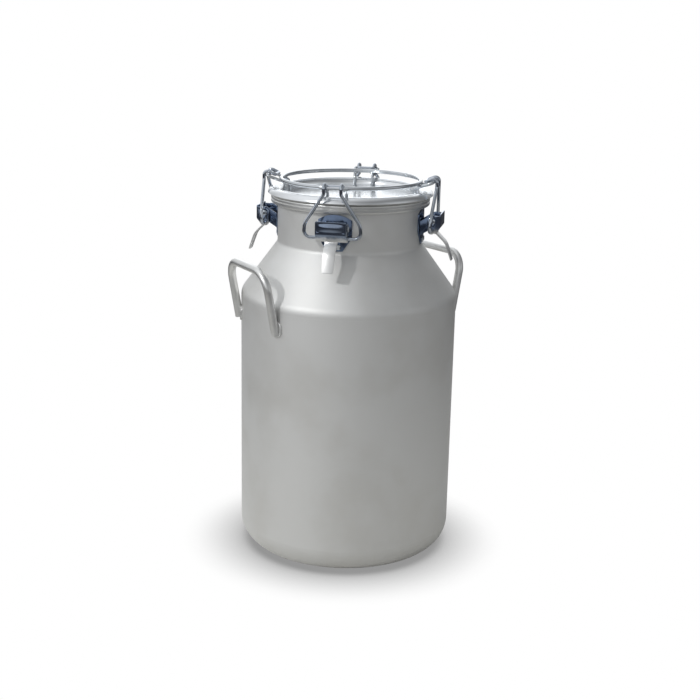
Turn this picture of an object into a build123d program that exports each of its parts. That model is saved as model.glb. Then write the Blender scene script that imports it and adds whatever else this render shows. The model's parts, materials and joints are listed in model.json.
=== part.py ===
"""A forty litre milk can of aluminium, with a clamped lid, four over-centre latches and two rod handles.

Millimetres, +Z up. The origin is the centre of the base, on the ground.
The front latch faces -Y. A turn is an angle about the can's axis, counted from the front towards +X.
"""

import os
from math import atan2, cos, degrees, radians, sin, sqrt, tan

from build123d import *

# The vessel
BODY_RADIUS = 165.0
BODY_HEIGHT = 405.0        # ground to the edge where the shoulder starts
SHOULDER_RISE = 75.0
NECK_RADIUS = 110.0
NECK_HEIGHT = 60.0
WALL = 3.0
BASE_BEND = 38.5           # bend of the wall's middle line into the bottom
BASE_HOLLOW = 3.0          # the middle of the bottom stands this far off the ground
FOOT_WIDTH = 30.0          # flat ring that the can stands on
SEAM_DROP = 10.0           # the girth weld lies this far below the shoulder's edge
SHOULDER_BEND = 18.0
NECK_BEND = 10.0

# The rolled ring round the mouth
RIM_OVERHANG = 10.0        # the ring stands this far outside the neck
RIM_HEIGHT = 13.0
RIM_ROUND = 3.0
RIM_GROOVE_DEPTH = 0.9
RIM_GROOVE_HALF = 1.0

# The two handles
HANDLE_ROD = 12.0
HANDLE_WIDTH = 122.0       # between the middles of the legs
HANDLE_BEND = 30.0
HANDLE_FOOT_DROP = 39.0    # foot below the shoulder's edge
HANDLE_TOP_RISE = 51.0     # grip above the shoulder's edge
HANDLE_LEAN = 16.5         # the grip stands this far outside the feet
HANDLE_SINK = 2.5          # the rod's foot is ground away by this much to sit on the wall
HANDLE_TURNS = {"left": -48.5, "right": 136.5}
WELD_THICKNESS = 2.2
WELD_MARGIN = 3.0

# The lid
LID_SHEET = 2.5
LID_PANEL_DROP = 3.0       # panel's top below the mouth
LID_FIT = 1.5              # between the lid's wall and the mouth's bore
LIP_GAP = 2.5              # between the mouth ring and the lid's lip
LIP_ANGLE = 12.0           # the bead stops this far above its own middle
LID_CORNER = 2.6
SEAL_GAP = 0.3

# The clamp ring and the four brackets that carry it on the lid
RING_OFFSET = 2.0          # the ring's middle outside the recess
RING_WIRE = 6.0
BRACKET_WIRE = 4.5
BRACKET_FOOT_INSET = 5.5   # the foot's middle inside the recess wall
BRACKET_KNEE_INSET = 3.0
BRACKET_SPREAD = 5.5       # the ear's bar is this much longer, at each side, than the gap between the legs
BRACKET_KNEE_RISE = 15.0   # knee above the mouth
EAR_RISE = 24.3            # ear above the mouth
EAR_REACH = 1.5            # ear outside the lid's bead
EAR_SPARE = 0.5            # straight bar left beside the bail's arms
BRACKET_BEND = 4.0
SEAT_GAP = 0.2

# The latches
LATCH_TURNS = {"front": 0.0, "right": 90.0, "back": 180.0, "left": 270.0}
LATCH_SHEET = 2.0
RUN_GAP = 0.05             # radial clearance of each pin in its hole
SIDE_GAP = 1.0             # between the base's cheeks and the lever's cheeks
PIVOT_REACH = 9.0          # pivot outside the mouth ring
PIVOT_DROP = 19.0          # pivot below the mouth ring
PIN_DIAMETER = 5.0
PIN_HEAD = 8.0
PIN_HEAD_HEIGHT = 1.2
PLATE_HALF_WIDTH = 25.0
PLATE_CROWN = 17.0         # highest point of the plate above the pivot
PLATE_EDGE_TOP = 9.0       # its side edges run from here above the pivot
PLATE_EDGE_END = 16.0      # to here below it
PLATE_TOE_RISE = 5.0       # lower end above the shoulder
PLATE_TOE_HALF_WIDTH = 12.0
BASE_NOSE = 9.0            # rounding of the base's cheeks about the pivot
NOSE_GAP = 1.0             # between that rounding and the lever's front
CHEEK_TOP_DROP = 3.0       # cheek's root on the plate, below the pivot
CHEEK_ROOT = 21.0          # height of that root
LEVER_HALF_WIDTH = 22.5
LEVER_EYE = 8.0            # rounding of the lever's cheeks about the pivot
LEVER_TOP = 11.0           # top edge above the pivot
LEVER_BEND_DROP = 8.5      # the front turns in here, below the pivot
LEVER_CORNER = 2.5
WAIST = (3.0, 18.5)        # the strip's innermost bend: outside the pivot, below it
TAB_KNEE = (19.0, 34.0)
TAB_END = (28.0, 60.0)
STRIP_BENDS = (4.0, 3.5, 26.0)
TAB_ROOT_HALF_WIDTH = 9.5
TAB_END_HALF_WIDTH = 8.0
TAB_CORNER = 4.0
BAIL_WIRE = 5.0
BAIL_PIVOT_BACK = 1.5      # bail pivot inside the lever pivot, which makes the latch over-centre
BAIL_PIVOT_DROP = 14.0
BAIL_EYE = 5.5
BAIL_HALF_WIDTH = 42.0
BAIL_TIP_HALF_WIDTH = 12.5
BAIL_CORNER = 9.0
BAIL_SIDE = (1.0, 1.5, 20.0)  # where the side turns inwards: outwards, inwards across, up from its pivot
BAIL_SIDE_BEND = 24.0
BAIL_NECK_DROP = 8.0       # where the side turns upright, below the ear
BAIL_NECK_BEND = 8.0
BAIL_END_PROUD = 0.2       # the wire's ends stand inside the lever's cheeks
HOOK_GAP = 0.75            # between the hook and the ear's bar
HOOK_SLOPE = 24.0          # the hook's arm falls inwards at this angle
HOOK_ARM = 10.2
HOOK_TIP_BEND = 3.5
RIVET_DIAMETER = 4.4
RIVET_HEAD = 7.2
RIVET_HEAD_HEIGHT = 1.2
UPPER_RIVETS = (11.0, 13.0)  # half their distance, and how far below the pivot
LOWER_RIVETS = (6.0, 6.0)    # half their distance, and how far above the plate's lower end

# Levels and radii that follow
neck_level = BODY_HEIGHT + SHOULDER_RISE
rim_level = neck_level + NECK_HEIGHT
mouth_level = rim_level + RIM_HEIGHT
bore_radius = NECK_RADIUS - WALL
rim_radius = NECK_RADIUS + RIM_OVERHANG
recess_radius = bore_radius - LID_FIT - LID_SHEET
lip_radius = rim_radius + LIP_GAP + LID_SHEET
bead_middle = (recess_radius + lip_radius) / 2
bead_radius = (lip_radius - recess_radius) / 2 - LID_SHEET / 2
panel_level = mouth_level - LID_PANEL_DROP
ring_radius = recess_radius + RING_OFFSET
ear_half = BAIL_TIP_HALF_WIDTH + BAIL_WIRE / 2 + BRACKET_BEND + EAR_SPARE
leg_half = ear_half - BRACKET_SPREAD
ear_radius = lip_radius + EAR_REACH
ear_level = mouth_level + EAR_RISE
pivot_radius = rim_radius + PIVOT_REACH
pivot_level = rim_level - PIVOT_DROP
bail_radius = pivot_radius - BAIL_PIVOT_BACK
bail_level = pivot_level - BAIL_PIVOT_DROP
plate_radius = NECK_RADIUS + LATCH_SHEET
plate_toe = neck_level + PLATE_TOE_RISE
lever_face = BASE_NOSE + NOSE_GAP + LATCH_SHEET / 2
upper_row = pivot_level - UPPER_RIVETS[1]
lower_row = plate_toe + LOWER_RIVETS[1]
rivet_spots = [(side * UPPER_RIVETS[0], upper_row) for side in (-1, 1)]
rivet_spots += [(side * LOWER_RIVETS[0], lower_row) for side in (-1, 1)]
cutter = 4 * mouth_level   # height of a cylinder that trims a piece to a round wall


def at(turn, out, across, up):
    """The point at a turn: outwards from the axis, across to the right of someone facing it, and up."""
    a = radians(turn)
    return (across * cos(a) + out * sin(a), across * sin(a) - out * cos(a), up)


def upright(turn, across=0.0):
    """A plane through the axis at a turn, shifted across; x is outwards, y is up, and it looks back across."""
    a = radians(turn)
    return Plane(origin=at(turn, 0, across, 0), x_dir=(sin(a), -cos(a), 0), z_dir=(-cos(a), -sin(a), 0))


def facing(turn, out):
    """A plane that faces outwards at a turn; x is across, y is up."""
    a = radians(turn)
    return Plane(origin=at(turn, out, 0, 0), x_dir=(cos(a), sin(a), 0), z_dir=(sin(a), -cos(a), 0))


def spun_sheet(points, bends, thickness):
    """Sheet metal turned about the axis, from the middle line of its wall."""
    with BuildPart() as shell:
        with BuildSketch(Plane.XZ):
            with BuildLine():
                FilletPolyline(points, radius=bends)
            trace(line_width=thickness)
        revolve(axis=Axis.Z)
    return shell.part


def bent_rod(points, bends, thickness):
    """Round rod bent at the inner points."""
    with BuildPart() as rod:
        with BuildLine() as route:
            FilletPolyline(points, radius=bends)
        with BuildSketch(Plane(route.line @ 0, z_dir=route.line % 0)):
            Circle(thickness / 2)
        sweep(path=route.line)
    return rod.part


def save(part, name):
    """Label a finished piece and write it."""
    part.label = name
    export_step(part, f"parts/{name}.step")


os.makedirs("parts", exist_ok=True)

# The body: side wall and bottom in one drawn shell, with a flat ring to stand on
wall_line = BODY_RADIUS - WALL / 2
foot_outside = BODY_RADIUS - WALL / 2 - BASE_BEND
foot_inside = foot_outside - FOOT_WIDTH
seam_level = BODY_HEIGHT - SEAM_DROP
body_points = [
    (0, BASE_HOLLOW + WALL / 2),
    (foot_inside - 2 * BASE_HOLLOW, BASE_HOLLOW + WALL / 2),
    (foot_inside, WALL / 2),
    (wall_line, WALL / 2),
    (wall_line, seam_level),
]
with BuildPart() as body_shell:
    add(spun_sheet(body_points, (2 * WALL, 2 * WALL, BASE_BEND), WALL))
save(body_shell.part, "body_shell")

# The shoulder and neck, butt welded on the body, with the rivet holes of the latches
shoulder_points = [
    (wall_line, seam_level),
    (wall_line, BODY_HEIGHT),
    (NECK_RADIUS - WALL / 2, neck_level),
    (NECK_RADIUS - WALL / 2, rim_level),
]
with BuildPart() as shoulder_neck:
    add(spun_sheet(shoulder_points, (SHOULDER_BEND, NECK_BEND), WALL))
    for turn in LATCH_TURNS.values():
        with BuildSketch(facing(turn, 0)):
            with Locations(*rivet_spots):
                Circle(RIVET_DIAMETER / 2 + RUN_GAP)
        extrude(amount=BODY_RADIUS, mode=Mode.SUBTRACT)
save(shoulder_neck.part, "shoulder_neck")

# The ring round the mouth: a square section with rounded outer edges and a shallow groove
groove_level = rim_level + RIM_HEIGHT / 2
with BuildPart() as mouth_ring:
    with BuildSketch(Plane.XZ):
        with BuildLine():
            Polyline(
                (bore_radius, rim_level),
                (rim_radius, rim_level),
                (rim_radius, groove_level - RIM_GROOVE_HALF),
                (rim_radius - RIM_GROOVE_DEPTH, groove_level),
                (rim_radius, groove_level + RIM_GROOVE_HALF),
                (rim_radius, mouth_level),
                (bore_radius, mouth_level),
                close=True,
            )
        make_face()
    revolve(axis=Axis.Z)
    circles = mouth_ring.edges().filter_by(GeomType.CIRCLE)
    for level in (circles.group_by(Axis.Z)[0], circles.group_by(Axis.Z)[-1]):
        fillet(level.sort_by(SortBy.RADIUS)[-1], RIM_ROUND)
save(mouth_ring.part, "mouth_ring")

# The handles: a bent rod each, ground to the wall at its feet, where a weld runs round each leg
foot_level = BODY_HEIGHT - HANDLE_FOOT_DROP
grip_level = BODY_HEIGHT + HANDLE_TOP_RISE
foot_out = sqrt((BODY_RADIUS + HANDLE_ROD / 2 - HANDLE_SINK) ** 2 - (HANDLE_WIDTH / 2) ** 2)
for side, turn in HANDLE_TURNS.items():
    handle_points = [
        at(turn, foot_out, -HANDLE_WIDTH / 2, foot_level),
        at(turn, foot_out + HANDLE_LEAN, -HANDLE_WIDTH / 2, grip_level),
        at(turn, foot_out + HANDLE_LEAN, HANDLE_WIDTH / 2, grip_level),
        at(turn, foot_out, HANDLE_WIDTH / 2, foot_level),
    ]
    rod = bent_rod(handle_points, (HANDLE_BEND, HANDLE_BEND), HANDLE_ROD)
    with BuildPart() as handle:
        add(rod)
        Cylinder(BODY_RADIUS, cutter, mode=Mode.SUBTRACT)
    save(handle.part, f"handle_{side}")

    foot_turn = degrees(atan2(HANDLE_WIDTH / 2, foot_out))
    with BuildPart() as welds:
        for leg_turn in (turn - foot_turn, turn + foot_turn):
            with BuildSketch(facing(leg_turn, BODY_RADIUS - WELD_MARGIN)):
                with Locations((0, foot_level + HANDLE_ROD / 2)):
                    SlotOverall(2 * HANDLE_ROD, HANDLE_ROD + 2 * WELD_MARGIN, rotation=90)
            extrude(amount=WELD_MARGIN + WELD_THICKNESS)
        Cylinder(BODY_RADIUS + WELD_THICKNESS, cutter, mode=Mode.INTERSECT)
        Cylinder(BODY_RADIUS, cutter, mode=Mode.SUBTRACT)
        add(rod, mode=Mode.SUBTRACT)
    save(welds.part, f"handle_{side}_welds")

# The lid: a panel sunk in the mouth, its wall, and a half round bead over the mouth ring
wall_middle = recess_radius + LID_SHEET / 2
panel_middle = panel_level - LID_SHEET / 2
with BuildPart() as lid_shell:
    with BuildSketch(Plane.XZ):
        with BuildLine():
            FilletPolyline((0, panel_middle), (wall_middle, panel_middle), (wall_middle, mouth_level), radius=LID_CORNER)
            CenterArc((bead_middle, mouth_level), bead_radius, 180, LIP_ANGLE - 180)
        trace(line_width=LID_SHEET)
    revolve(axis=Axis.Z)
save(lid_shell.part, "lid_shell")

# The rubber seal that fills the bead and sits on the mouth ring
with BuildPart() as lid_gasket:
    with BuildSketch(Plane.XZ):
        with Locations((bead_middle, mouth_level)):
            Circle(bead_radius - LID_SHEET / 2 - SEAT_GAP)
        with Locations((bead_middle, mouth_level + SEAL_GAP)):
            Rectangle(4 * bead_radius, 4 * bead_radius, align=(Align.CENTER, Align.MAX), mode=Mode.SUBTRACT)
    revolve(axis=Axis.Z)
save(lid_gasket.part, "lid_gasket")

# The clamp ring lies on the arms of four bent wire brackets, whose outer bars are the latches' ears
knee_radius = recess_radius - BRACKET_KNEE_INSET
knee_level = mouth_level + BRACKET_KNEE_RISE
arm_slope = (ear_level - knee_level) / (ear_radius - knee_radius)
ring_out = sqrt(ring_radius**2 - leg_half**2)
half_wires = (RING_WIRE + BRACKET_WIRE) / 2 + SEAT_GAP
ring_level = knee_level + (ring_out - knee_radius) * arm_slope + half_wires * sqrt(1 + arm_slope**2)
with BuildPart() as clamp_ring:
    with BuildSketch(Plane.XZ):
        with Locations((ring_radius, ring_level)):
            Circle(RING_WIRE / 2)
    revolve(axis=Axis.Z)
save(clamp_ring.part, "clamp_ring")

foot_radius = recess_radius - BRACKET_FOOT_INSET
for side, turn in LATCH_TURNS.items():
    bracket_points = [
        at(turn, foot_radius, -leg_half, panel_level - LID_SHEET),
        at(turn, knee_radius, -leg_half, knee_level),
        at(turn, ear_radius, -ear_half, ear_level),
        at(turn, ear_radius, ear_half, ear_level),
        at(turn, knee_radius, leg_half, knee_level),
        at(turn, foot_radius, leg_half, panel_level - LID_SHEET),
    ]
    with BuildPart() as bracket:
        add(bent_rod(bracket_points, BRACKET_BEND, BRACKET_WIRE))
        split(bisect_by=Plane.XY.offset(panel_level), keep=Keep.TOP)
    save(bracket.part, f"ring_bracket_{side}")


def latch_base(turn):
    """The plate riveted on the neck, and the two cheeks that hold the pivot."""
    cheek_outside = LEVER_HALF_WIDTH - LATCH_SHEET - SIDE_GAP
    top_left = (-PLATE_HALF_WIDTH, pivot_level + PLATE_EDGE_TOP)
    top_right = (PLATE_HALF_WIDTH, pivot_level + PLATE_EDGE_TOP)
    with BuildPart() as base:
        with BuildSketch(facing(turn, 0)):
            with BuildLine():
                ThreePointArc(top_left, (0, pivot_level + PLATE_CROWN), top_right)
                Polyline(
                    top_right,
                    (PLATE_HALF_WIDTH, pivot_level - PLATE_EDGE_END),
                    (PLATE_TOE_HALF_WIDTH, plate_toe),
                    (-PLATE_TOE_HALF_WIDTH, plate_toe),
                    (-PLATE_HALF_WIDTH, pivot_level - PLATE_EDGE_END),
                    top_left,
                )
            make_face()
            with Locations(*rivet_spots):
                Circle(RIVET_DIAMETER / 2 + RUN_GAP, mode=Mode.SUBTRACT)
        extrude(amount=plate_radius)
        Cylinder(plate_radius, cutter, mode=Mode.INTERSECT)
        with BuildSketch(upright(turn, cheek_outside)):
            with BuildLine():
                CenterArc((pivot_radius, pivot_level), BASE_NOSE, 0, 360)
                Line(
                    (NECK_RADIUS - WALL, pivot_level - CHEEK_TOP_DROP),
                    (NECK_RADIUS - WALL, pivot_level - CHEEK_TOP_DROP - CHEEK_ROOT),
                )
            make_hull()
            with Locations((pivot_radius, pivot_level)):
                Circle(PIN_DIAMETER / 2 + RUN_GAP, mode=Mode.SUBTRACT)
        cheek = extrude(amount=LATCH_SHEET)
        mirror(cheek, about=upright(turn))
        Cylinder(NECK_RADIUS, cutter, mode=Mode.SUBTRACT)
    return base.part


def latch_rivets(turn):
    """Four rivets through the plate and the neck, a head outside and a tail inside."""
    with BuildPart() as heads:
        with BuildSketch(facing(turn, NECK_RADIUS - WALL)):
            with Locations(*rivet_spots):
                Circle(RIVET_HEAD / 2)
        extrude(amount=plate_radius + RIVET_HEAD_HEIGHT - NECK_RADIUS + WALL)
        Cylinder(plate_radius, cutter, mode=Mode.SUBTRACT)
    with BuildPart() as tails:
        with BuildSketch(facing(turn, bore_radius - 2 * RIVET_HEAD_HEIGHT)):
            with Locations(*rivet_spots):
                Circle(RIVET_HEAD / 2)
        extrude(amount=2 * RIVET_HEAD_HEIGHT)
        Cylinder(bore_radius, cutter, mode=Mode.INTERSECT)
    with BuildPart() as rivets:
        add(heads.part)
        add(tails.part)
        with BuildSketch(facing(turn, bore_radius - RIVET_HEAD_HEIGHT)):
            with Locations(*rivet_spots):
                Circle(RIVET_DIAMETER / 2)
        extrude(amount=WALL + LATCH_SHEET + 2 * RIVET_HEAD_HEIGHT - RUN_GAP)
    return rivets.part


def latch_pin(turn):
    """The pivot pin, with a head outside each cheek of the lever."""
    head_outside = LEVER_HALF_WIDTH + SEAL_GAP + PIN_HEAD_HEIGHT
    with BuildPart() as pin:
        with BuildSketch(upright(turn, head_outside)):
            with Locations((pivot_radius, pivot_level)):
                Circle(PIN_DIAMETER / 2)
        extrude(amount=2 * head_outside)
        with BuildSketch(upright(turn, head_outside)):
            with Locations((pivot_radius, pivot_level)):
                Circle(PIN_HEAD / 2)
        head = extrude(amount=PIN_HEAD_HEIGHT)
        mirror(head, about=upright(turn))
    return pin.part


def latch_lever(turn):
    """A bent strip, wide in front of the pivot and narrow in its tab, with a cheek folded back at each side."""
    face = pivot_radius + lever_face
    waist_level = pivot_level - WAIST[1]
    tab_end = pivot_level - TAB_END[1] - LATCH_SHEET / 2
    strip = [(face, pivot_level + LEVER_TOP), (face, pivot_level - LEVER_BEND_DROP)]
    strip += [(pivot_radius + out, pivot_level - down) for out, down in (WAIST, TAB_KNEE, TAB_END)]
    with BuildPart() as lever:
        with BuildSketch(upright(turn, LEVER_HALF_WIDTH)):
            with BuildLine():
                FilletPolyline(strip, radius=STRIP_BENDS)
            trace(line_width=LATCH_SHEET)
        extrude(amount=2 * LEVER_HALF_WIDTH)
        with BuildSketch(facing(turn, 0)) as outline:
            with BuildLine():
                Polyline(
                    (-LEVER_HALF_WIDTH, pivot_level + LEVER_TOP),
                    (-LEVER_HALF_WIDTH, waist_level),
                    (-TAB_ROOT_HALF_WIDTH, waist_level),
                    (-TAB_END_HALF_WIDTH, tab_end),
                    (TAB_END_HALF_WIDTH, tab_end),
                    (TAB_ROOT_HALF_WIDTH, waist_level),
                    (LEVER_HALF_WIDTH, waist_level),
                    (LEVER_HALF_WIDTH, pivot_level + LEVER_TOP),
                    close=True,
                )
            make_face()
            fillet(outline.vertices().group_by(Axis.Y)[0], TAB_CORNER)
            fillet(outline.vertices().group_by(Axis.Y)[-1], LEVER_CORNER)
        extrude(amount=2 * face, mode=Mode.INTERSECT)
        with BuildSketch(upright(turn, LEVER_HALF_WIDTH)):
            with BuildLine():
                CenterArc((pivot_radius, pivot_level), LEVER_EYE, 0, 360)
                CenterArc((bail_radius, bail_level), BAIL_EYE, 0, 360)
                Line((face, pivot_level + LEVER_TOP - LEVER_CORNER), (face, pivot_level - LEVER_BEND_DROP))
            make_hull()
            with Locations((pivot_radius, pivot_level)):
                Circle(PIN_DIAMETER / 2 + RUN_GAP, mode=Mode.SUBTRACT)
            with Locations((bail_radius, bail_level)):
                Circle(BAIL_WIRE / 2 + RUN_GAP, mode=Mode.SUBTRACT)
        cheek = extrude(amount=LATCH_SHEET)
        mirror(cheek, about=upright(turn))
    return lever.part


def latch_bail(turn):
    """The wire loop: its ends turn in to the lever's cheeks and its top hooks over the ear."""
    hook = BRACKET_WIRE / 2 + HOOK_GAP + BAIL_WIRE / 2
    hook_corner = hook * tan(radians((90 + HOOK_SLOPE) / 2))
    rise_out = ear_radius + hook
    arc_end = radians(90 + HOOK_SLOPE)
    tip_out = ear_radius + hook * cos(arc_end) - HOOK_ARM * cos(radians(HOOK_SLOPE))
    tip_up = ear_level + hook * sin(arc_end) - HOOK_ARM * sin(radians(HOOK_SLOPE))
    half = [
        (bail_radius, LEVER_HALF_WIDTH - LATCH_SHEET - BAIL_END_PROUD, bail_level),
        (bail_radius, BAIL_HALF_WIDTH, bail_level),
        (bail_radius + BAIL_SIDE[0], BAIL_HALF_WIDTH - BAIL_SIDE[1], bail_level + BAIL_SIDE[2]),
        (rise_out, BAIL_TIP_HALF_WIDTH, ear_level - BAIL_NECK_DROP),
        (rise_out, BAIL_TIP_HALF_WIDTH, ear_level + hook_corner),
        (tip_out, BAIL_TIP_HALF_WIDTH, tip_up),
    ]
    right = [at(turn, out, across, up) for out, across, up in half]
    left = [at(turn, out, -across, up) for out, across, up in reversed(half)]
    bends = (BAIL_CORNER, BAIL_SIDE_BEND, BAIL_NECK_BEND, hook, HOOK_TIP_BEND)
    return bent_rod(right + left, bends + tuple(reversed(bends)), BAIL_WIRE)


for side, turn in LATCH_TURNS.items():
    save(latch_base(turn), f"latch_base_{side}")
    save(latch_rivets(turn), f"latch_rivets_{side}")
    save(latch_pin(turn), f"latch_pin_{side}")
    save(latch_lever(turn), f"latch_lever_{side}")
    save(latch_bail(turn), f"latch_bail_{side}")
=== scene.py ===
# %% [markdown]
# A milk can of blasted aluminium with a clamped lid, seen on a white studio floor.
# The CAD pieces come in first as a fixed frame, in metres, with the origin at the centre of the base.
# Everything after this cell is looks: surfaces, small modelled detail, light and a camera.

# %% Load the frame
import json
from math import atan2, cos, pi, radians, sin

import bpy
from mathutils import Matrix, Vector


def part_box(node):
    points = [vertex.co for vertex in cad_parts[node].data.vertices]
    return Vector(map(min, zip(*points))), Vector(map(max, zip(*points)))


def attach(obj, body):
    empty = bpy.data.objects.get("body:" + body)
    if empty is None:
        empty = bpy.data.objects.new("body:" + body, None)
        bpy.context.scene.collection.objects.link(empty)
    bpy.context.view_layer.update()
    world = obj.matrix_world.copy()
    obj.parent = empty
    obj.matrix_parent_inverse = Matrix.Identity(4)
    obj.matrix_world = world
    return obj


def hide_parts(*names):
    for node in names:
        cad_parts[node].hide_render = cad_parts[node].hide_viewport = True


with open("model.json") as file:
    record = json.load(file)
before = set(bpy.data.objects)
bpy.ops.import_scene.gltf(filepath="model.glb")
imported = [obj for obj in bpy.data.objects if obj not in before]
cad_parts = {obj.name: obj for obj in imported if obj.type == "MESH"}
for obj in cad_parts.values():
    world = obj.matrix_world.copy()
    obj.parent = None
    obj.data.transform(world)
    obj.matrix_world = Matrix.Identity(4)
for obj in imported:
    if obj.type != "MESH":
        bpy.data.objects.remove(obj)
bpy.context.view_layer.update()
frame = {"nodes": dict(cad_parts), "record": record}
nodes = frame["nodes"]

# %% [markdown]
# The camera stands a little right of the front latch and looks down by about fifteen degrees.
# A long lens keeps the walls of the can nearly parallel, as in a catalogue.
# The order of the turns matters: roll first, then tilt, then the turn about the upright axis.

# %% Camera
CAMERA_TURN = 11.4       # degrees from the front latch towards the right one
CAMERA_DISTANCE = 1.902
CAMERA_HEIGHT = 0.8275
CAMERA_TILT = 15.27      # degrees below the horizon
CAMERA_YAW = 0.12
CAMERA_ROLL = 1.247
LENS = 64.9

camera_data = bpy.data.cameras.new("camera")
camera_data.lens = LENS
camera = bpy.data.objects.new("camera", camera_data)
bpy.context.scene.collection.objects.link(camera)
turn = radians(CAMERA_TURN)
place = Matrix.Translation((CAMERA_DISTANCE * sin(turn), -CAMERA_DISTANCE * cos(turn), CAMERA_HEIGHT))
aim = Matrix.Rotation(turn - radians(CAMERA_YAW), 4, "Z") @ Matrix.Rotation(radians(90 - CAMERA_TILT), 4, "X")
camera.matrix_world = place @ aim @ Matrix.Rotation(radians(CAMERA_ROLL), 4, "Z")
bpy.context.scene.camera = camera
print("camera at", [round(v, 3) for v in camera.matrix_world.translation])

# %% [markdown]
# A node group is a small tool with named inputs, built once and used in many materials.
# These helpers start one, and wire nodes together with few words.

# %% Node helpers
def new_group(name, inputs, outputs):
    """An empty shader group with float inputs (name: default) and float outputs."""
    group = bpy.data.node_groups.new(name, "ShaderNodeTree")
    for label, value in inputs.items():
        socket = group.interface.new_socket(name=label, in_out="INPUT", socket_type="NodeSocketFloat")
        socket.default_value = value
    for label in outputs:
        group.interface.new_socket(name=label, in_out="OUTPUT", socket_type="NodeSocketFloat")
    return group, group.nodes.new("NodeGroupInput").outputs, group.nodes.new("NodeGroupOutput").inputs


def put(tree, kind, settings=None, **values):
    """Adds a node and fills or links its inputs: i0 is the first input, From_Min is From Min."""
    node = tree.nodes.new(kind)
    for key, value in (settings or {}).items():
        setattr(node, key, value)
    for key, value in values.items():
        by_number = key[0] == "i" and key[1:].isdigit()
        socket = node.inputs[int(key[1:])] if by_number else node.inputs[key.replace("_", " ")]
        if isinstance(value, bpy.types.NodeSocket):
            tree.links.new(value, socket)
        else:
            socket.default_value = value
    return node


def place_of(tree):
    """The point on the piece, in the can's own frame, in metres."""
    return put(tree, "ShaderNodeTexCoord").outputs["Object"]


def noise(tree, where, per_metre, detail=2.0, roughness=0.6):
    """Soft random values between about 0.3 and 0.7."""
    node = put(tree, "ShaderNodeTexNoise", Vector=where, Scale=per_metre, Detail=detail, Roughness=roughness)
    return node.outputs["Fac"]


def sum_of(tree, operation, a, b=0.0):
    """The result of one sum on two numbers or sockets."""
    return put(tree, "ShaderNodeMath", {"operation": operation}, i0=a, i1=b).outputs[0]


def spread(tree, value, low, high):
    """A value spread smoothly from 0 at low to 1 at high."""
    smooth = {"interpolation_type": "SMOOTHSTEP"}
    return put(tree, "ShaderNodeMapRange", smooth, Value=value, From_Min=low, From_Max=high).outputs["Result"]


# %% [markdown]
# Blasted metal is covered in tiny dents with no direction. Two layers of noise give them: grains
# about a millimetre across, and finer ones between. The group hands out a height for a bump.

# %% Blasted grain group
FINER = 2.7              # how much smaller the second grains are
COARSE_SHARE = 0.65
grain, given, out = new_group("Blasted grain", {"Per metre": 900.0}, ["Height"])
coarse = noise(grain, place_of(grain), given["Per metre"])
fine = noise(grain, place_of(grain), sum_of(grain, "MULTIPLY", given["Per metre"], FINER), detail=1.0)
coarse_part = sum_of(grain, "MULTIPLY", coarse, COARSE_SHARE)
both = sum_of(grain, "ADD", coarse_part, sum_of(grain, "MULTIPLY", fine, 1.0 - COARSE_SHARE))
grain.links.new(both, out["Height"])

# %% [markdown]
# A spun or turned piece carries fine rings round its axis. Noise that only sees the distance from
# the axis and the height gives rings of uneven depth, which look more like tool marks than a wave.

# %% Turned rings group
rings, given, out = new_group("Turned rings", {"Per metre": 900.0}, ["Height"])
split = put(rings, "ShaderNodeSeparateXYZ", Vector=place_of(rings)).outputs
squares = [sum_of(rings, "POWER", split[axis], 2.0) for axis in ("X", "Y")]
from_axis = sum_of(rings, "SQRT", sum_of(rings, "ADD", *squares))
profile = put(rings, "ShaderNodeCombineXYZ", X=from_axis, Z=split["Z"]).outputs[0]
rings.links.new(noise(rings, profile, given["Per metre"], roughness=0.7), out["Height"])

# %% [markdown]
# Handling leaves broad, soft patches on bare aluminium, where it is a little darker and smoother.
# Fine scratches lie over them: noise stretched hard along one direction, twice, and crossed.
# The two share a group, because every metal here has both.

# %% Handling group
PATCH_RANGE = (0.42, 0.72)           # noise values where a patch starts and is complete
SCRATCH_RANGE = (0.62, 0.74)
SCRATCH_LEANS = (0.5, -0.9)          # radians: the two directions of the scratches
SCRATCH_STRETCH = (1.0, 0.06, 1.0)
SCRATCHES_PER_METRE = 260.0
handling, given, out = new_group("Handling", {"Patches per metre": 9.0, "Scratches": 0.3}, ["Mask"])
patch_noise = noise(handling, place_of(handling), given["Patches per metre"], detail=4.0)
patches = spread(handling, patch_noise, *PATCH_RANGE)
crossed = []
for lean in SCRATCH_LEANS:
    turned = (lean, lean / 2, lean)
    where = place_of(handling)
    mapping = put(handling, "ShaderNodeMapping", Vector=where, Rotation=turned, Scale=SCRATCH_STRETCH)
    scratch_noise = noise(handling, mapping.outputs[0], SCRATCHES_PER_METRE, roughness=0.8)
    crossed.append(spread(handling, scratch_noise, *SCRATCH_RANGE))
lines = sum_of(handling, "MULTIPLY", sum_of(handling, "MAXIMUM", *crossed), given["Scratches"])
handling.links.new(sum_of(handling, "MAXIMUM", patches, lines), out["Mask"])

# %% [markdown]
# Edges lose their skin first. Where a normal that is rounded over a small radius differs from the
# plain one, there is an edge, and the difference is a mask for it. Noise breaks the line up.

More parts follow.
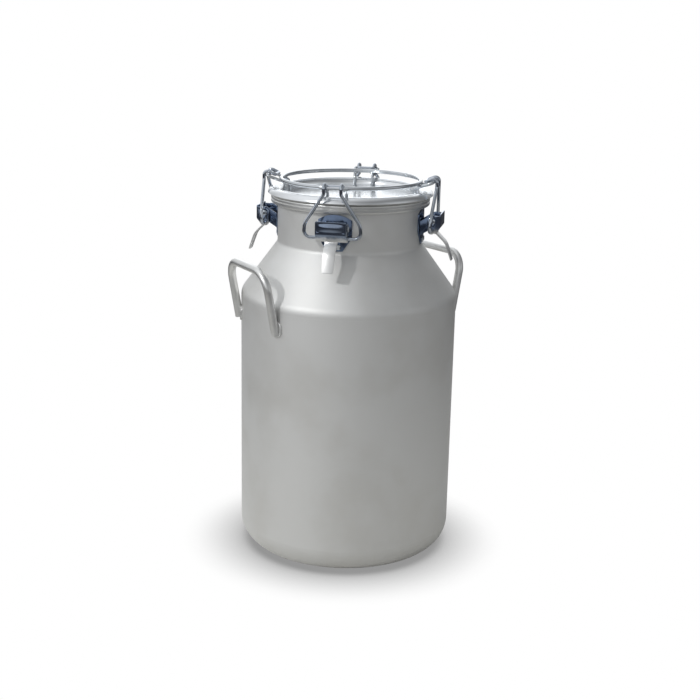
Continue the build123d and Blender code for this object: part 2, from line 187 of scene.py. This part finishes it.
# %% Edge wear group
BEND_RANGE = (0.01, 0.12)            # how far the normals part where the wear starts and is complete
BREAK_RANGE = (0.35, 0.6)
BREAKS_PER_METRE = 160.0
edges, given, out = new_group("Edge wear", {"Radius": 0.0008}, ["Mask"])
rounded = put(edges, "ShaderNodeBevel", {"samples": 4}, Radius=given["Radius"]).outputs["Normal"]
plain_normal = put(edges, "ShaderNodeNewGeometry").outputs["Normal"]
DOT = {"operation": "DOT_PRODUCT"}
agree = put(edges, "ShaderNodeVectorMath", DOT, i0=rounded, i1=plain_normal).outputs["Value"]
bend = spread(edges, sum_of(edges, "SUBTRACT", 1.0, agree), *BEND_RANGE)
broken = spread(edges, noise(edges, place_of(edges), BREAKS_PER_METRE, detail=3.0), *BREAK_RANGE)
edges.links.new(sum_of(edges, "MULTIPLY", bend, broken), out["Mask"])

# %% [markdown]
# Milk and polishing paste stay in corners and dull them, and the corners also get painted shade.
# Ambient occlusion finds the corners: its node says how much open sky a point sees within a short
# distance, and the rest is a mask for painted shade, a darker colour, and for the grime's duller finish.

# %% Corner painted shade and grime group
HIDDEN_RANGE = (0.25, 0.9)           # share of hidden sky where the painted shade and grime start and are complete
shaded_corners, given, out = new_group("Corner painted shade and grime", {"Reach": 0.012}, ["Mask"])
open_sky = put(shaded_corners, "ShaderNodeAmbientOcclusion", {"samples": 6}, Distance=given["Reach"]).outputs["AO"]
shaded_corners.links.new(spread(shaded_corners, sum_of(shaded_corners, "SUBTRACT", 1.0, open_sky), *HIDDEN_RANGE), out["Mask"])


# %% [markdown]
# Every metal here is one recipe with different numbers. Its colour and roughness drift from the
# fresh surface to the handled one, corners are dull with grime and dark with painted shade, edges
# bright. Two bumps lie on top of each other: a broad one, because sheet is never quite flat, and the
# finish's own tool marks.

# %% Metal recipe
EDGE_COLOUR, EDGE_ROUGHNESS = 1.18, 0.7      # a worn edge, as shares of the fresh finish
PAINTED_SHADE_COLOUR, GRIME_ROUGHNESS = 0.45, 1.3    # a corner: share of the handled colour, darkened as painted shade, and of the fresh roughness, raised by grime


def metal(name, fresh, handled, marks, per_metre, depth,
          sheet=(12.0, 0.0003), wear=(9.0, 0.3), edge=0.5, shade_and_grime=0.45):
    """A bare metal. fresh and handled are (colour, roughness), depth and sheet[1] metres of bump,
    sheet[0] waves per metre, and wear (patches per metre, strength of the scratches)."""
    material = bpy.data.materials.new(name)
    material.use_nodes = True
    tree = material.node_tree
    surface = tree.nodes["Principled BSDF"].inputs
    surface["Metallic"].default_value = 1.0
    use_of = {"Patches_per_metre": wear[0], "Scratches": wear[1]}
    touched = put(tree, "ShaderNodeGroup", {"node_tree": handling}, **use_of).outputs[0]
    worn_edge = sum_of(tree, "MULTIPLY", put(tree, "ShaderNodeGroup", {"node_tree": edges}).outputs[0], edge)
    # the corner mask: painted shade in the colour, grime in the roughness
    hidden = put(tree, "ShaderNodeGroup", {"node_tree": shaded_corners}).outputs[0]
    shade_and_grime_mask = sum_of(tree, "MULTIPLY", hidden, shade_and_grime)
    colour = (*fresh[0], 1.0)
    rough = fresh[1]
    layers = [  # mask, colour, roughness
        (touched, handled[0], handled[1]),
        (worn_edge, [min(1.0, EDGE_COLOUR * c) for c in fresh[0]], EDGE_ROUGHNESS * fresh[1]),
        (shade_and_grime_mask, [PAINTED_SHADE_COLOUR * c for c in handled[0]], min(1.0, GRIME_ROUGHNESS * fresh[1])),
    ]
    for mask, layer_colour, layer_rough in layers:
        mix = put(tree, "ShaderNodeMix", {"data_type": "RGBA"}, i0=mask, i6=colour, i7=(*layer_colour, 1.0))
        colour = mix.outputs[2]
        mix = put(tree, "ShaderNodeMix", {"data_type": "FLOAT"}, i0=mask, i2=rough, i3=layer_rough)
        rough = mix.outputs[0]
    tree.links.new(colour, surface["Base Color"])
    tree.links.new(rough, surface["Roughness"])
    broad = put(tree, "ShaderNodeBump", Distance=sheet[1], Height=noise(tree, place_of(tree), sheet[0]))
    tool_marks = put(tree, "ShaderNodeGroup", {"node_tree": marks}, Per_metre=per_metre).outputs[0]
    top = put(tree, "ShaderNodeBump", Distance=depth, Height=tool_marks, Normal=broad.outputs[0])
    tree.links.new(top.outputs[0], surface["Normal"])
    return material


# %% [markdown]
# The finishes of this can, from the matt blasted wall to the bright plated wires. Bare aluminium
# is slightly warm; zinc plate is slightly blue. The small parts are far smoother than the can, so
# they mirror the dark and bright parts of the room, and that contrast is what reads as plating.
# The latch plates' colours are darker than real zinc, set for their look in this light: the extra
# dark is a painted reflection of the dim room around them.

# %% Finishes
finishes = {
    "satin_can": metal(
        "Satin can", ((0.85, 0.85, 0.84), 0.62), ((0.80, 0.795, 0.775), 0.56), grain, 900.0, 0.0001,
        wear=(7.0, 0.15), edge=0.3
    ),
    # the rim and the lid get less painted shade and grime in their corners than the other metals
    "machined_rim": metal(
        "Machined rim", ((0.86, 0.86, 0.85), 0.40), ((0.78, 0.78, 0.76), 0.35), rings, 700.0, 0.00006,
        shade_and_grime=0.35
    ),
    "handle_rod": metal(
        "Handle rod", ((0.88, 0.88, 0.87), 0.40), ((0.79, 0.785, 0.77), 0.32), grain, 1200.0, 0.00006,
        wear=(30.0, 0.6)
    ),
    "polished_lid": metal(
        "Polished lid", ((0.90, 0.92, 0.94), 0.20), ((0.84, 0.86, 0.88), 0.27), rings, 300.0, 0.00006,
        wear=(14.0, 0.4), shade_and_grime=0.15
    ),
    "bright_wire": metal(
        "Bright wire", ((0.66, 0.69, 0.72), 0.08), ((0.52, 0.54, 0.57), 0.18), grain, 1500.0, 0.00002,
        wear=(45.0, 0.5)
    ),
    "bail_wire": metal(
        "Bail wire", ((0.56, 0.60, 0.66), 0.08), ((0.42, 0.46, 0.52), 0.20), grain, 1500.0, 0.00002,
        wear=(45.0, 0.6)
    ),
    "latch_fasteners": metal(
        "Latch fasteners", ((0.72, 0.76, 0.80), 0.15), ((0.58, 0.61, 0.65), 0.28), grain, 1500.0, 0.00003,
        wear=(60.0, 0.5)
    ),
    # the latch plates' dark colours are partly a painted reflection of the dim room
    "lever_plate": metal(
        "Lever plate", ((0.28, 0.34, 0.45), 0.10), ((0.23, 0.27, 0.35), 0.20), grain, 1500.0, 0.00002,
        sheet=(45.0, 0.0002), wear=(40.0, 0.6), edge=0.8
    ),
    "base_plate": metal(
        "Base plate", ((0.16, 0.21, 0.31), 0.13), ((0.13, 0.17, 0.25), 0.22), grain, 1500.0, 0.00002,
        sheet=(45.0, 0.0002), wear=(40.0, 0.5), edge=0.8
    ),
}
print("metals", list(finishes))

# %% [markdown]
# Thumbs and gloves rub the levers' tabs and the slope above them: there the plating is pale and
# matt, and has lost its blue. The downward slope's pale colour is also a painted reflection of the
# bright floor that it faces. Both are low on the lever, so their mask is simply the height, with
# noise in its edge.

# %% Rubbed tabs and painted reflection
RUBBED_AND_REFLECTED = (0.5120, 0.5040)        # heights where the rubbing and the painted reflection start and are complete
RAGGED = 0.006                   # how far its edge wanders, with this many waves per metre
WANDERS = 300.0
# pale: worn plating, and a painted reflection of the floor on the downward slope
RUBBED_AND_REFLECTED_COLOUR = (0.82, 0.82, 0.81, 1.0)
RUBBED_ROUGHNESS = 0.36
material = finishes["lever_plate"]
tree = material.node_tree
surface = tree.nodes["Principled BSDF"].inputs
height = put(tree, "ShaderNodeSeparateXYZ", Vector=place_of(tree)).outputs["Z"]
wandering = sum_of(tree, "SUBTRACT", noise(tree, place_of(tree), WANDERS), 0.5)
ragged = sum_of(tree, "MULTIPLY", wandering, RAGGED)
rubbed_and_reflected = spread(tree, sum_of(tree, "ADD", height, ragged), *RUBBED_AND_REFLECTED)
was_colour, was_rough = (surface[label].links[0].from_socket for label in ("Base Color", "Roughness"))
mix = put(tree, "ShaderNodeMix", {"data_type": "RGBA"}, i0=rubbed_and_reflected, i6=was_colour, i7=RUBBED_AND_REFLECTED_COLOUR)
tree.links.new(mix.outputs[2], surface["Base Color"])
mix = put(tree, "ShaderNodeMix", {"data_type": "FLOAT"}, i0=rubbed_and_reflected, i2=was_rough, i3=RUBBED_ROUGHNESS)
tree.links.new(mix.outputs[0], surface["Roughness"])
print("rubbed tabs below", RUBBED_AND_REFLECTED[0])

# %% [markdown]
# The seal is pale food rubber, the one piece that isn't metal. It only shows as a thin line.

# %% Rubber
rubber = bpy.data.materials.new("Seal rubber")
rubber.use_nodes = True
tree = rubber.node_tree
surface = tree.nodes["Principled BSDF"].inputs
touched = put(tree, "ShaderNodeGroup", {"node_tree": handling}, Patches_per_metre=40.0).outputs[0]
clean, soiled = (0.60, 0.60, 0.58, 1.0), (0.48, 0.48, 0.46, 1.0)
tint = put(tree, "ShaderNodeMix", {"data_type": "RGBA"}, i0=touched, i6=clean, i7=soiled)
tree.links.new(tint.outputs[2], surface["Base Color"])
rough = put(tree, "ShaderNodeMapRange", Value=touched, To_Min=0.62, To_Max=0.74)
tree.links.new(rough.outputs["Result"], surface["Roughness"])
pores = put(tree, "ShaderNodeGroup", {"node_tree": grain}).outputs[0]
tree.links.new(put(tree, "ShaderNodeBump", Distance=0.00004, Height=pores).outputs[0], surface["Normal"])
finishes["seal_rubber"] = rubber
print("finishes", len(finishes))

# %% [markdown]
# Each CAD piece names the finish it wears, by the slot in the record. Its old material is cleared
# first, so that no face keeps a plain grey one.

# %% Give every CAD piece its finish
slot_of = {part["node"]: part["material_slot"] for part in frame["record"]["subparts"]}
body_of = {node: body for body, members in frame["record"]["behaviour"]["bodies"].items() for node in members}
for name, node in nodes.items():
    node.data.materials.clear()
    node.data.materials.append(finishes[slot_of[name]])
print("finished", len(nodes), "CAD pieces")

# %% [markdown]
# Pressed sheet has no sharp edges: the die rounds them, and each rounded edge catches a thin line
# of light. The CAD pieces have square edges, so each latch plate gets a copy whose flat facets are
# joined and whose edges are bevelled. A bevel modifier does all edges over one angle at once, which
# suits a plate with dozens of edges better than picking them by hand.

# %% Copies of CAD pieces
MERGE = 1e-6
FLAT = radians(0.5)


def choose_only(piece):
    """Makes one object the only selected one, and the active one."""
    bpy.ops.object.select_all(action="DESELECT")
    piece.select_set(True)
    bpy.context.view_layer.objects.active = piece


def merged_copy(node_name, name):
    """A copy of a CAD piece with its loose triangles joined and its flats made whole."""
    mesh = nodes[node_name].data.copy()
    mesh.transform(nodes[node_name].matrix_world)
    piece = bpy.data.objects.new(name, mesh)
    bpy.context.scene.collection.objects.link(piece)
    choose_only(piece)
    bpy.ops.object.mode_set(mode="EDIT")
    bpy.ops.mesh.select_all(action="SELECT")
    bpy.ops.mesh.remove_doubles(threshold=MERGE)
    bpy.ops.mesh.dissolve_limited(angle_limit=FLAT)
    bpy.ops.object.mode_set(mode="OBJECT")
    if piece.data.has_custom_normals:
        bpy.ops.mesh.customdata_custom_splitnormals_clear()
    return piece


def round_edges(piece, width, over=35.0, segments=2):
    """Bevels every edge that turns more than an angle, closes its slivers, and smooths the rest."""
    choose_only(piece)
    bevel = piece.modifiers.new("edges", "BEVEL")
    bevel.width = width
    bevel.segments = segments
    bevel.limit_method = "ANGLE"
    bevel.angle_limit = radians(over)
    bpy.ops.object.modifier_apply(modifier=bevel.name)
    bpy.ops.object.mode_set(mode="EDIT")
    bpy.ops.mesh.select_all(action="SELECT")
    bpy.ops.mesh.remove_doubles(threshold=MERGE)
    bpy.ops.object.mode_set(mode="OBJECT")
    bpy.ops.object.shade_smooth_by_angle(angle=radians(over))


def stand_for(piece, *node_names):
    """Rides a finished piece on the body of the CAD pieces that it stands for, in their finish."""
    piece.data.materials.clear()
    piece.data.materials.append(finishes[slot_of[node_names[0]]])
    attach(piece, body_of[node_names[0]])
    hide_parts(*node_names)


# %% [markdown]
# The lever's front is pressed into a shallow pillow inside a flat border. The face has many corner
# points, so it can't be cut into a grid, and insets of it would cross. So the face is inset once
# for the border and its middle is cut out. A small grid is added in the hole, its points are raised
# into the pillow, and the two open loops are bridged. The bridge becomes the step into the panel.
# Seen from a little above, it mirrors the room in front in its upper half and the floor below that.

# %% Lever fronts
SIDES = {"front": 0.0, "right": 90.0, "back": 180.0, "left": 270.0}
BORDER = 0.0010          # flat rim round the pressed panel
STEP_WIDTH = 0.0016      # from that rim to the pillow's edge
STEP = 0.0004
CROWN = 0.0013           # middle of the pillow above its edge
COLUMNS = 16
ROWS = 8
EDGE = 0.0003            # bevel of the sheet's edges
PANEL_LEAST = 0.0003     # area of the smallest face that can be the front
FACING = 0.999           # cosine to the outward direction, of a face that looks straight out


def outwards(side):
    """The direction away from the axis at a side."""
    a = radians(SIDES[side])
    return Vector((sin(a), -cos(a), 0.0))


def press_front(piece, side):
    """Cuts the middle out of the plate's front face and bridges a raised panel into it."""
    out = outwards(side)
    across = Vector((-out.y, out.x, 0.0))
    faces = [face for face in piece.data.polygons if face.normal.dot(out) > FACING]
    outermost = max(face.center.dot(out) for face in faces if face.area > PANEL_LEAST)
    foremost = [face for face in faces if face.center.dot(out) > outermost - STEP]
    front = max(foremost, key=lambda face: face.area)
    shaded_corners = [piece.data.vertices[i].co.copy() for i in front.vertices]
    number = front.index
    bpy.ops.object.mode_set(mode="EDIT")
    bpy.ops.mesh.select_mode(type="FACE")
    bpy.ops.mesh.select_all(action="DESELECT")
    bpy.ops.object.mode_set(mode="OBJECT")
    piece.data.polygons[number].select = True
    bpy.ops.object.mode_set(mode="EDIT")
    bpy.ops.mesh.inset(thickness=BORDER, depth=0.0)
    bpy.ops.mesh.delete(type="FACE")
    bpy.ops.object.mode_set(mode="OBJECT")

    width = 2 * (max(abs(c.dot(across)) for c in shaded_corners) - BORDER - STEP_WIDTH)
    low, high = min(c.z for c in shaded_corners), max(c.z for c in shaded_corners)
    height = high - low - 2 * (BORDER + STEP_WIDTH)
    bpy.ops.object.select_all(action="DESELECT")
    bpy.ops.mesh.primitive_grid_add(x_subdivisions=COLUMNS, y_subdivisions=ROWS, size=1.0)
    panel = bpy.context.object
    for vertex in panel.data.vertices:
        u, v = 2 * vertex.co.x, 2 * vertex.co.y
        rise = CROWN * (1 - u * u) * (1 - v * v) - STEP
        level = (low + high) / 2 + v * height / 2
        vertex.co = across * u * width / 2 + out * (outermost + rise) + Vector((0, 0, level))
    piece.select_set(True)
    bpy.context.view_layer.objects.active = piece
    bpy.ops.object.join()
    bpy.ops.object.mode_set(mode="EDIT")
    bpy.ops.mesh.select_mode(type="EDGE")
    bpy.ops.mesh.select_all(action="DESELECT")
    bpy.ops.mesh.select_non_manifold(
        use_wire=False, use_boundary=True, use_multi_face=False, use_non_contiguous=False, use_verts=False
    )
    bpy.ops.mesh.bridge_edge_loops()
    bpy.ops.mesh.select_all(action="SELECT")
    bpy.ops.mesh.normals_make_consistent(inside=False)
    bpy.ops.object.mode_set(mode="OBJECT")
    return width, height


for side in SIDES:
    lever = merged_copy(f"latch_lever_{side}", f"lever_{side}")
    size = press_front(lever, side)
    round_edges(lever, EDGE)
    stand_for(lever, f"latch_lever_{side}")
    print(lever.name, "panel", [round(1000 * v, 1) for v in size], "faces", len(lever.data.polygons))

# %% [markdown]
# The base behind each lever is pressed from the same sheet, so its edges get the same rounding. The
# pin and the rivets are turned and headed, and a rivet's head is small, so its bevel is half.

# %% Base plates and pins
for side in SIDES:
    for kind, width in (("base", EDGE), ("pin", EDGE), ("rivets", EDGE / 2)):
        node_name = f"latch_{kind}_{side}"
        piece = merged_copy(node_name, f"pressed_{kind}_{side}")
        round_edges(piece, width)
        stand_for(piece, node_name)
        print(piece.name, len(piece.data.polygons))

# %% [markdown]
# The handles' feet are welded to the wall all round. A hand-made weld is a row of overlapping
# ripples, like a pushed-over stack of coins, one for each dab of the rod. The CAD pads have the
# right size and place, so each gets finer facets, and its points move out and in with their angle
# round the foot. Only points within a short reach of each foot's middle ripple.

# %% Handle welds
RIPPLES = 26
RIPPLE_HEIGHT = 0.0004
ROUNDNESS = 0.6          # below one gives broad ripples with narrow dips between
WELD_REACH = 0.016


def ripple(piece, centre, out):
    """Moves points along their normals by a row of rounded waves round a centre."""
    across = Vector((-out.y, out.x, 0.0))
    normals = [vertex.normal.copy() for vertex in piece.data.vertices]
    for vertex, normal in zip(piece.data.vertices, normals):
        arm = vertex.co - centre
        if arm.length > WELD_REACH:
            continue
        angle = atan2(arm.dot(across), arm.z)
        wave = abs(sin(RIPPLES * angle / 2)) ** ROUNDNESS
        vertex.co += normal * RIPPLE_HEIGHT * (wave - 0.5)


for hand in ("left", "right"):
    beads = merged_copy(f"handle_{hand}_welds", f"handle_{hand}_beads")
    bpy.ops.object.mode_set(mode="EDIT")
    bpy.ops.mesh.select_all(action="SELECT")
    bpy.ops.mesh.quads_convert_to_tris()
    bpy.ops.mesh.subdivide(number_cuts=3)
    bpy.ops.object.mode_set(mode="OBJECT")
    points = [v.co for v in beads.data.vertices]
    middle = sum(points, Vector()) / len(points)
    out = Vector((middle.x, middle.y, 0.0)).normalized()
    across = Vector((-out.y, out.x, 0.0))
    for way in (-1, 1):
        foot = [p for p in points if (p - middle).dot(across) * way > 0]
        centre = sum(foot, Vector()) / len(foot)
        ripple(beads, centre, out)
        print(beads.name, "foot at", [round(c, 3) for c in centre])
    choose_only(beads)
    bpy.ops.object.shade_smooth()
    stand_for(beads, f"handle_{hand}_welds")

# %% [markdown]
# Each bracket is held to the lid by two fillets at its feet, and to the clamp ring by a bead where
# each leg crosses it. A bead starts as a ball: it is flattened, cut finer, and given three waves
# along its length. It is made once and copied to its sixteen places, four to a bracket.

# %% Bracket beads
BEAD = 0.0034            # half length of a bead
BEAD_FLAT = 0.62
BEAD_WIDE = 0.8
BEAD_WAVES = 900.0       # turns of the wave per metre
BEAD_SWELL = 0.07
LEG_SPREAD = 0.0131      # leg's middle from the middle of its bracket
lid_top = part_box("ring_bracket_front")[0][2]
ring_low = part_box("clamp_ring")[0][2]
ring_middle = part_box("clamp_ring")[1][0] - (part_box("clamp_ring")[1][2] - ring_low) / 2
FOOT_IN = 0.002          # from the bracket's inner side to the middle of its foot
foot_middle = -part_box("ring_bracket_front")[1][1] + FOOT_IN


def bead(name):
    """One rippled bead at the origin, long side along X."""
    bpy.ops.object.select_all(action="DESELECT")
    bpy.ops.mesh.primitive_uv_sphere_add(segments=20, ring_count=12, radius=BEAD)
    piece = bpy.context.object
    piece.name = name
    bpy.ops.object.mode_set(mode="EDIT")
    bpy.ops.transform.resize(value=(1.0, BEAD_WIDE, BEAD_FLAT))
    bpy.ops.mesh.subdivide(number_cuts=1, smoothness=1.0)
    bpy.ops.object.mode_set(mode="OBJECT")
    for vertex in piece.data.vertices:
        vertex.co *= 1.0 + BEAD_SWELL * sin(2 * pi * BEAD_WAVES * vertex.co.x)
    bpy.ops.object.shade_smooth()
    return piece


pattern = bead("bead_pattern")
for side in SIDES:
    out = outwards(side)
    across = Vector((-out.y, out.x, 0.0))
    spots = [out * reach + across * way * LEG_SPREAD + Vector((0, 0, level))
             for reach, level in ((foot_middle, lid_top), (ring_middle, ring_low)) for way in (-1, 1)]
    copies = []
    for spot in spots:
        copy = bpy.data.objects.new("bead", pattern.data.copy())
        bpy.context.scene.collection.objects.link(copy)
        copy.data.transform(Matrix.Translation(spot) @ Matrix.Rotation(radians(SIDES[side]), 4, "Z"))
        copies.append(copy)
    choose_only(copies[0])
    for copy in copies:
        copy.select_set(True)
    bpy.ops.object.join()
    beads = bpy.context.object
    beads.name = f"bracket_beads_{side}"
    beads.data.materials.append(finishes["bright_wire"])
    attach(beads, "lid")
    print(beads.name, len(beads.data.polygons))
bpy.data.objects.remove(pattern)

# %% [markdown]
# The clamp ring is a wire bent round until its ends meet, then butt welded and left unground. The
# seam is a short collar, a little thicker than the wire, at the back right where no bracket is.
# A cylinder is a fair start: loops are added along it, and they swell and shrink as the weld did.

# %% Ring seam
SEAM_TURN = 137.0
SEAM_LENGTH = 0.007
SEAM_PROUD = 0.0005
SEAM_SUNK = 0.0001       # its ends lie this far inside the wire
SEAM_UNEVEN = 0.25
wire = (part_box("clamp_ring")[1][2] - ring_low) / 2
bpy.ops.object.select_all(action="DESELECT")
bpy.ops.mesh.primitive_cylinder_add(vertices=32, radius=wire, depth=SEAM_LENGTH)
seam = bpy.context.object
seam.name = "ring_seam"
bpy.ops.object.mode_set(mode="EDIT")
bpy.ops.mesh.select_all(action="SELECT")
bpy.ops.mesh.subdivide(number_cuts=7)
bpy.ops.object.mode_set(mode="OBJECT")
for vertex in seam.data.vertices:
    along = 2 * vertex.co.z / SEAM_LENGTH
    swell = SEAM_PROUD * (1 - along ** 2) * (1 + SEAM_UNEVEN * sin(5 * pi * along)) - SEAM_SUNK
    around = Vector((vertex.co.x, vertex.co.y, 0.0))
    if around.length > wire / 2:
        vertex.co += around.normalized() * swell
bpy.ops.object.shade_smooth()
a = radians(SEAM_TURN)
lay_down = Matrix.Rotation(a, 4, "Z") @ Matrix.Rotation(pi / 2, 4, "Y")
seam_at = Matrix.Translation((ring_middle * sin(a), -ring_middle * cos(a), ring_low + wire))
seam.data.transform(seam_at @ lay_down)
seam.data.materials.append(finishes["bright_wire"])
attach(seam, "lid")
print("seam", len(seam.data.polygons))

# %% [markdown]
# A white floor, and a world that is white to the camera. The floor's white is its own light, and
# ambient occlusion dims it softly where the can stands. In the metal's reflections the floor is
# pale near the can and dark further out, as a small table in a dim studio is.

# %% Floor
FLOOR_HALF = 12.0
CONTACT = 0.10           # reach of the soft shadow
SHADOW_RANGE = {"From_Min": 0.35, "From_Max": 0.97, "To_Min": 0.30, "To_Max": 1.0}
FADE = (0.4, 2.0)        # distances where the table starts to darken and is dark
bpy.ops.object.select_all(action="DESELECT")
bpy.ops.mesh.primitive_plane_add(size=2 * FLOOR_HALF)
floor = bpy.context.object
floor.name = "floor"
white = bpy.data.materials.new("White floor")
white.use_nodes = True
tree = white.node_tree
tree.nodes.remove(tree.nodes["Principled BSDF"])
open_sky = put(tree, "ShaderNodeAmbientOcclusion", {"samples": 16}, Distance=CONTACT).outputs["AO"]
lit = put(tree, "ShaderNodeMapRange", Value=open_sky, **SHADOW_RANGE)
glow = put(tree, "ShaderNodeEmission", Strength=lit.outputs["Result"])
distance = put(tree, "ShaderNodeVectorMath", {"operation": "LENGTH"}, i0=place_of(tree)).outputs["Value"]
far = spread(tree, distance, *FADE)
paper, dark = (0.66, 0.65, 0.62, 1.0), (0.10, 0.10, 0.11, 1.0)
table = put(tree, "ShaderNodeMix", {"data_type": "RGBA"}, i0=far, i6=paper, i7=dark)
dim = put(tree, "ShaderNodeBsdfDiffuse", Color=table.outputs[2])
seen = put(tree, "ShaderNodeLightPath").outputs["Is Camera Ray"]
both = put(tree, "ShaderNodeMixShader", i0=seen, i1=dim.outputs[0], i2=glow.outputs[0])
tree.links.new(both.outputs[0], tree.nodes["Material Output"].inputs["Surface"])
floor.data.materials.append(white)
print("floor", 2 * FLOOR_HALF, "m wide")

# %% [markdown]
# The room is a sum of soft lobes. Each lobe is a direction, how tight it is, and how bright. A lobe's
# brightness is the cosine to its direction raised to a power, so its edge is as soft as cloth.
# Between the lobes the room is dimmer, and the smooth plated parts mirror those gaps too.

# %% World
world = bpy.data.worlds.new("studio")
bpy.context.scene.world = world
world.use_nodes = True
tree = world.node_tree
look_at = put(tree, "ShaderNodeTexCoord").outputs["Generated"]
LOBES = [  # direction, tightness, brightness
    ((-0.44, -0.76, 0.56), 8.0, 0.08),    # around the key
    ((-0.95, -0.10, 0.05), 2.5, 0.60),    # a pale wall on the left
    ((-0.20, -0.98, 0.00), 3.0, 0.62),    # a pale wall in front, on the camera's side
    ((-0.36, 0.10, 1.0), 4.0, 0.70),      # the ceiling
    ((-0.20, 1.0, 0.30), 9.0, 1.6),       # a bright wall behind
    ((0.97, -0.20, 0.0), 5.0, 0.52),      # some return on the right
]
room_light = 0.12        # from every side
for direction, tightness, brightness in LOBES:
    towards = Vector(direction).normalized()
    cosine = put(tree, "ShaderNodeVectorMath", DOT, i0=look_at, i1=towards).outputs["Value"]
    lobe = sum_of(tree, "POWER", sum_of(tree, "MAXIMUM", cosine, 0.0), tightness)
    room_light = sum_of(tree, "ADD", room_light, sum_of(tree, "MULTIPLY", lobe, brightness))
room = put(tree, "ShaderNodeBackground", Color=(0.96, 0.98, 1.0, 1.0), Strength=room_light)
plain = put(tree, "ShaderNodeBackground", Color=(1.0, 1.0, 1.0, 1.0), Strength=1.0)
seen = put(tree, "ShaderNodeLightPath").outputs["Is Camera Ray"]
both = put(tree, "ShaderNodeMixShader", i0=seen, i1=room.outputs[0], i2=plain.outputs[0])
tree.links.new(both.outputs[0], tree.nodes["World Output"].inputs["Surface"])
print("lobes", len(LOBES))

# %% [markdown]
# One small lamp, high in front and to the left, draws the highlight down the wall and the shadow
# beside the tab. The room alone would leave every edge soft. The camera sees plain values, with
# no film curve.

# %% Key light
KEY_AT = Vector((-1.45, -1.85, 1.95))
KEY_AIM = Vector((0.0, 0.0, 0.4))
KEY_SIZE = 0.18
KEY_WATTS = 17.0
key_data = bpy.data.lights.new("key", "AREA")
key_data.shape = "DISK"
key_data.size = KEY_SIZE
key_data.energy = KEY_WATTS
key = bpy.data.objects.new("key", key_data)
bpy.context.scene.collection.objects.link(key)
aim = (KEY_AIM - KEY_AT).to_track_quat("-Z", "Y")
key.matrix_world = Matrix.Translation(KEY_AT) @ aim.to_matrix().to_4x4()
bpy.context.scene.view_settings.view_transform = "Standard"
print("key light", round((KEY_AIM - KEY_AT).length, 2), "m away")
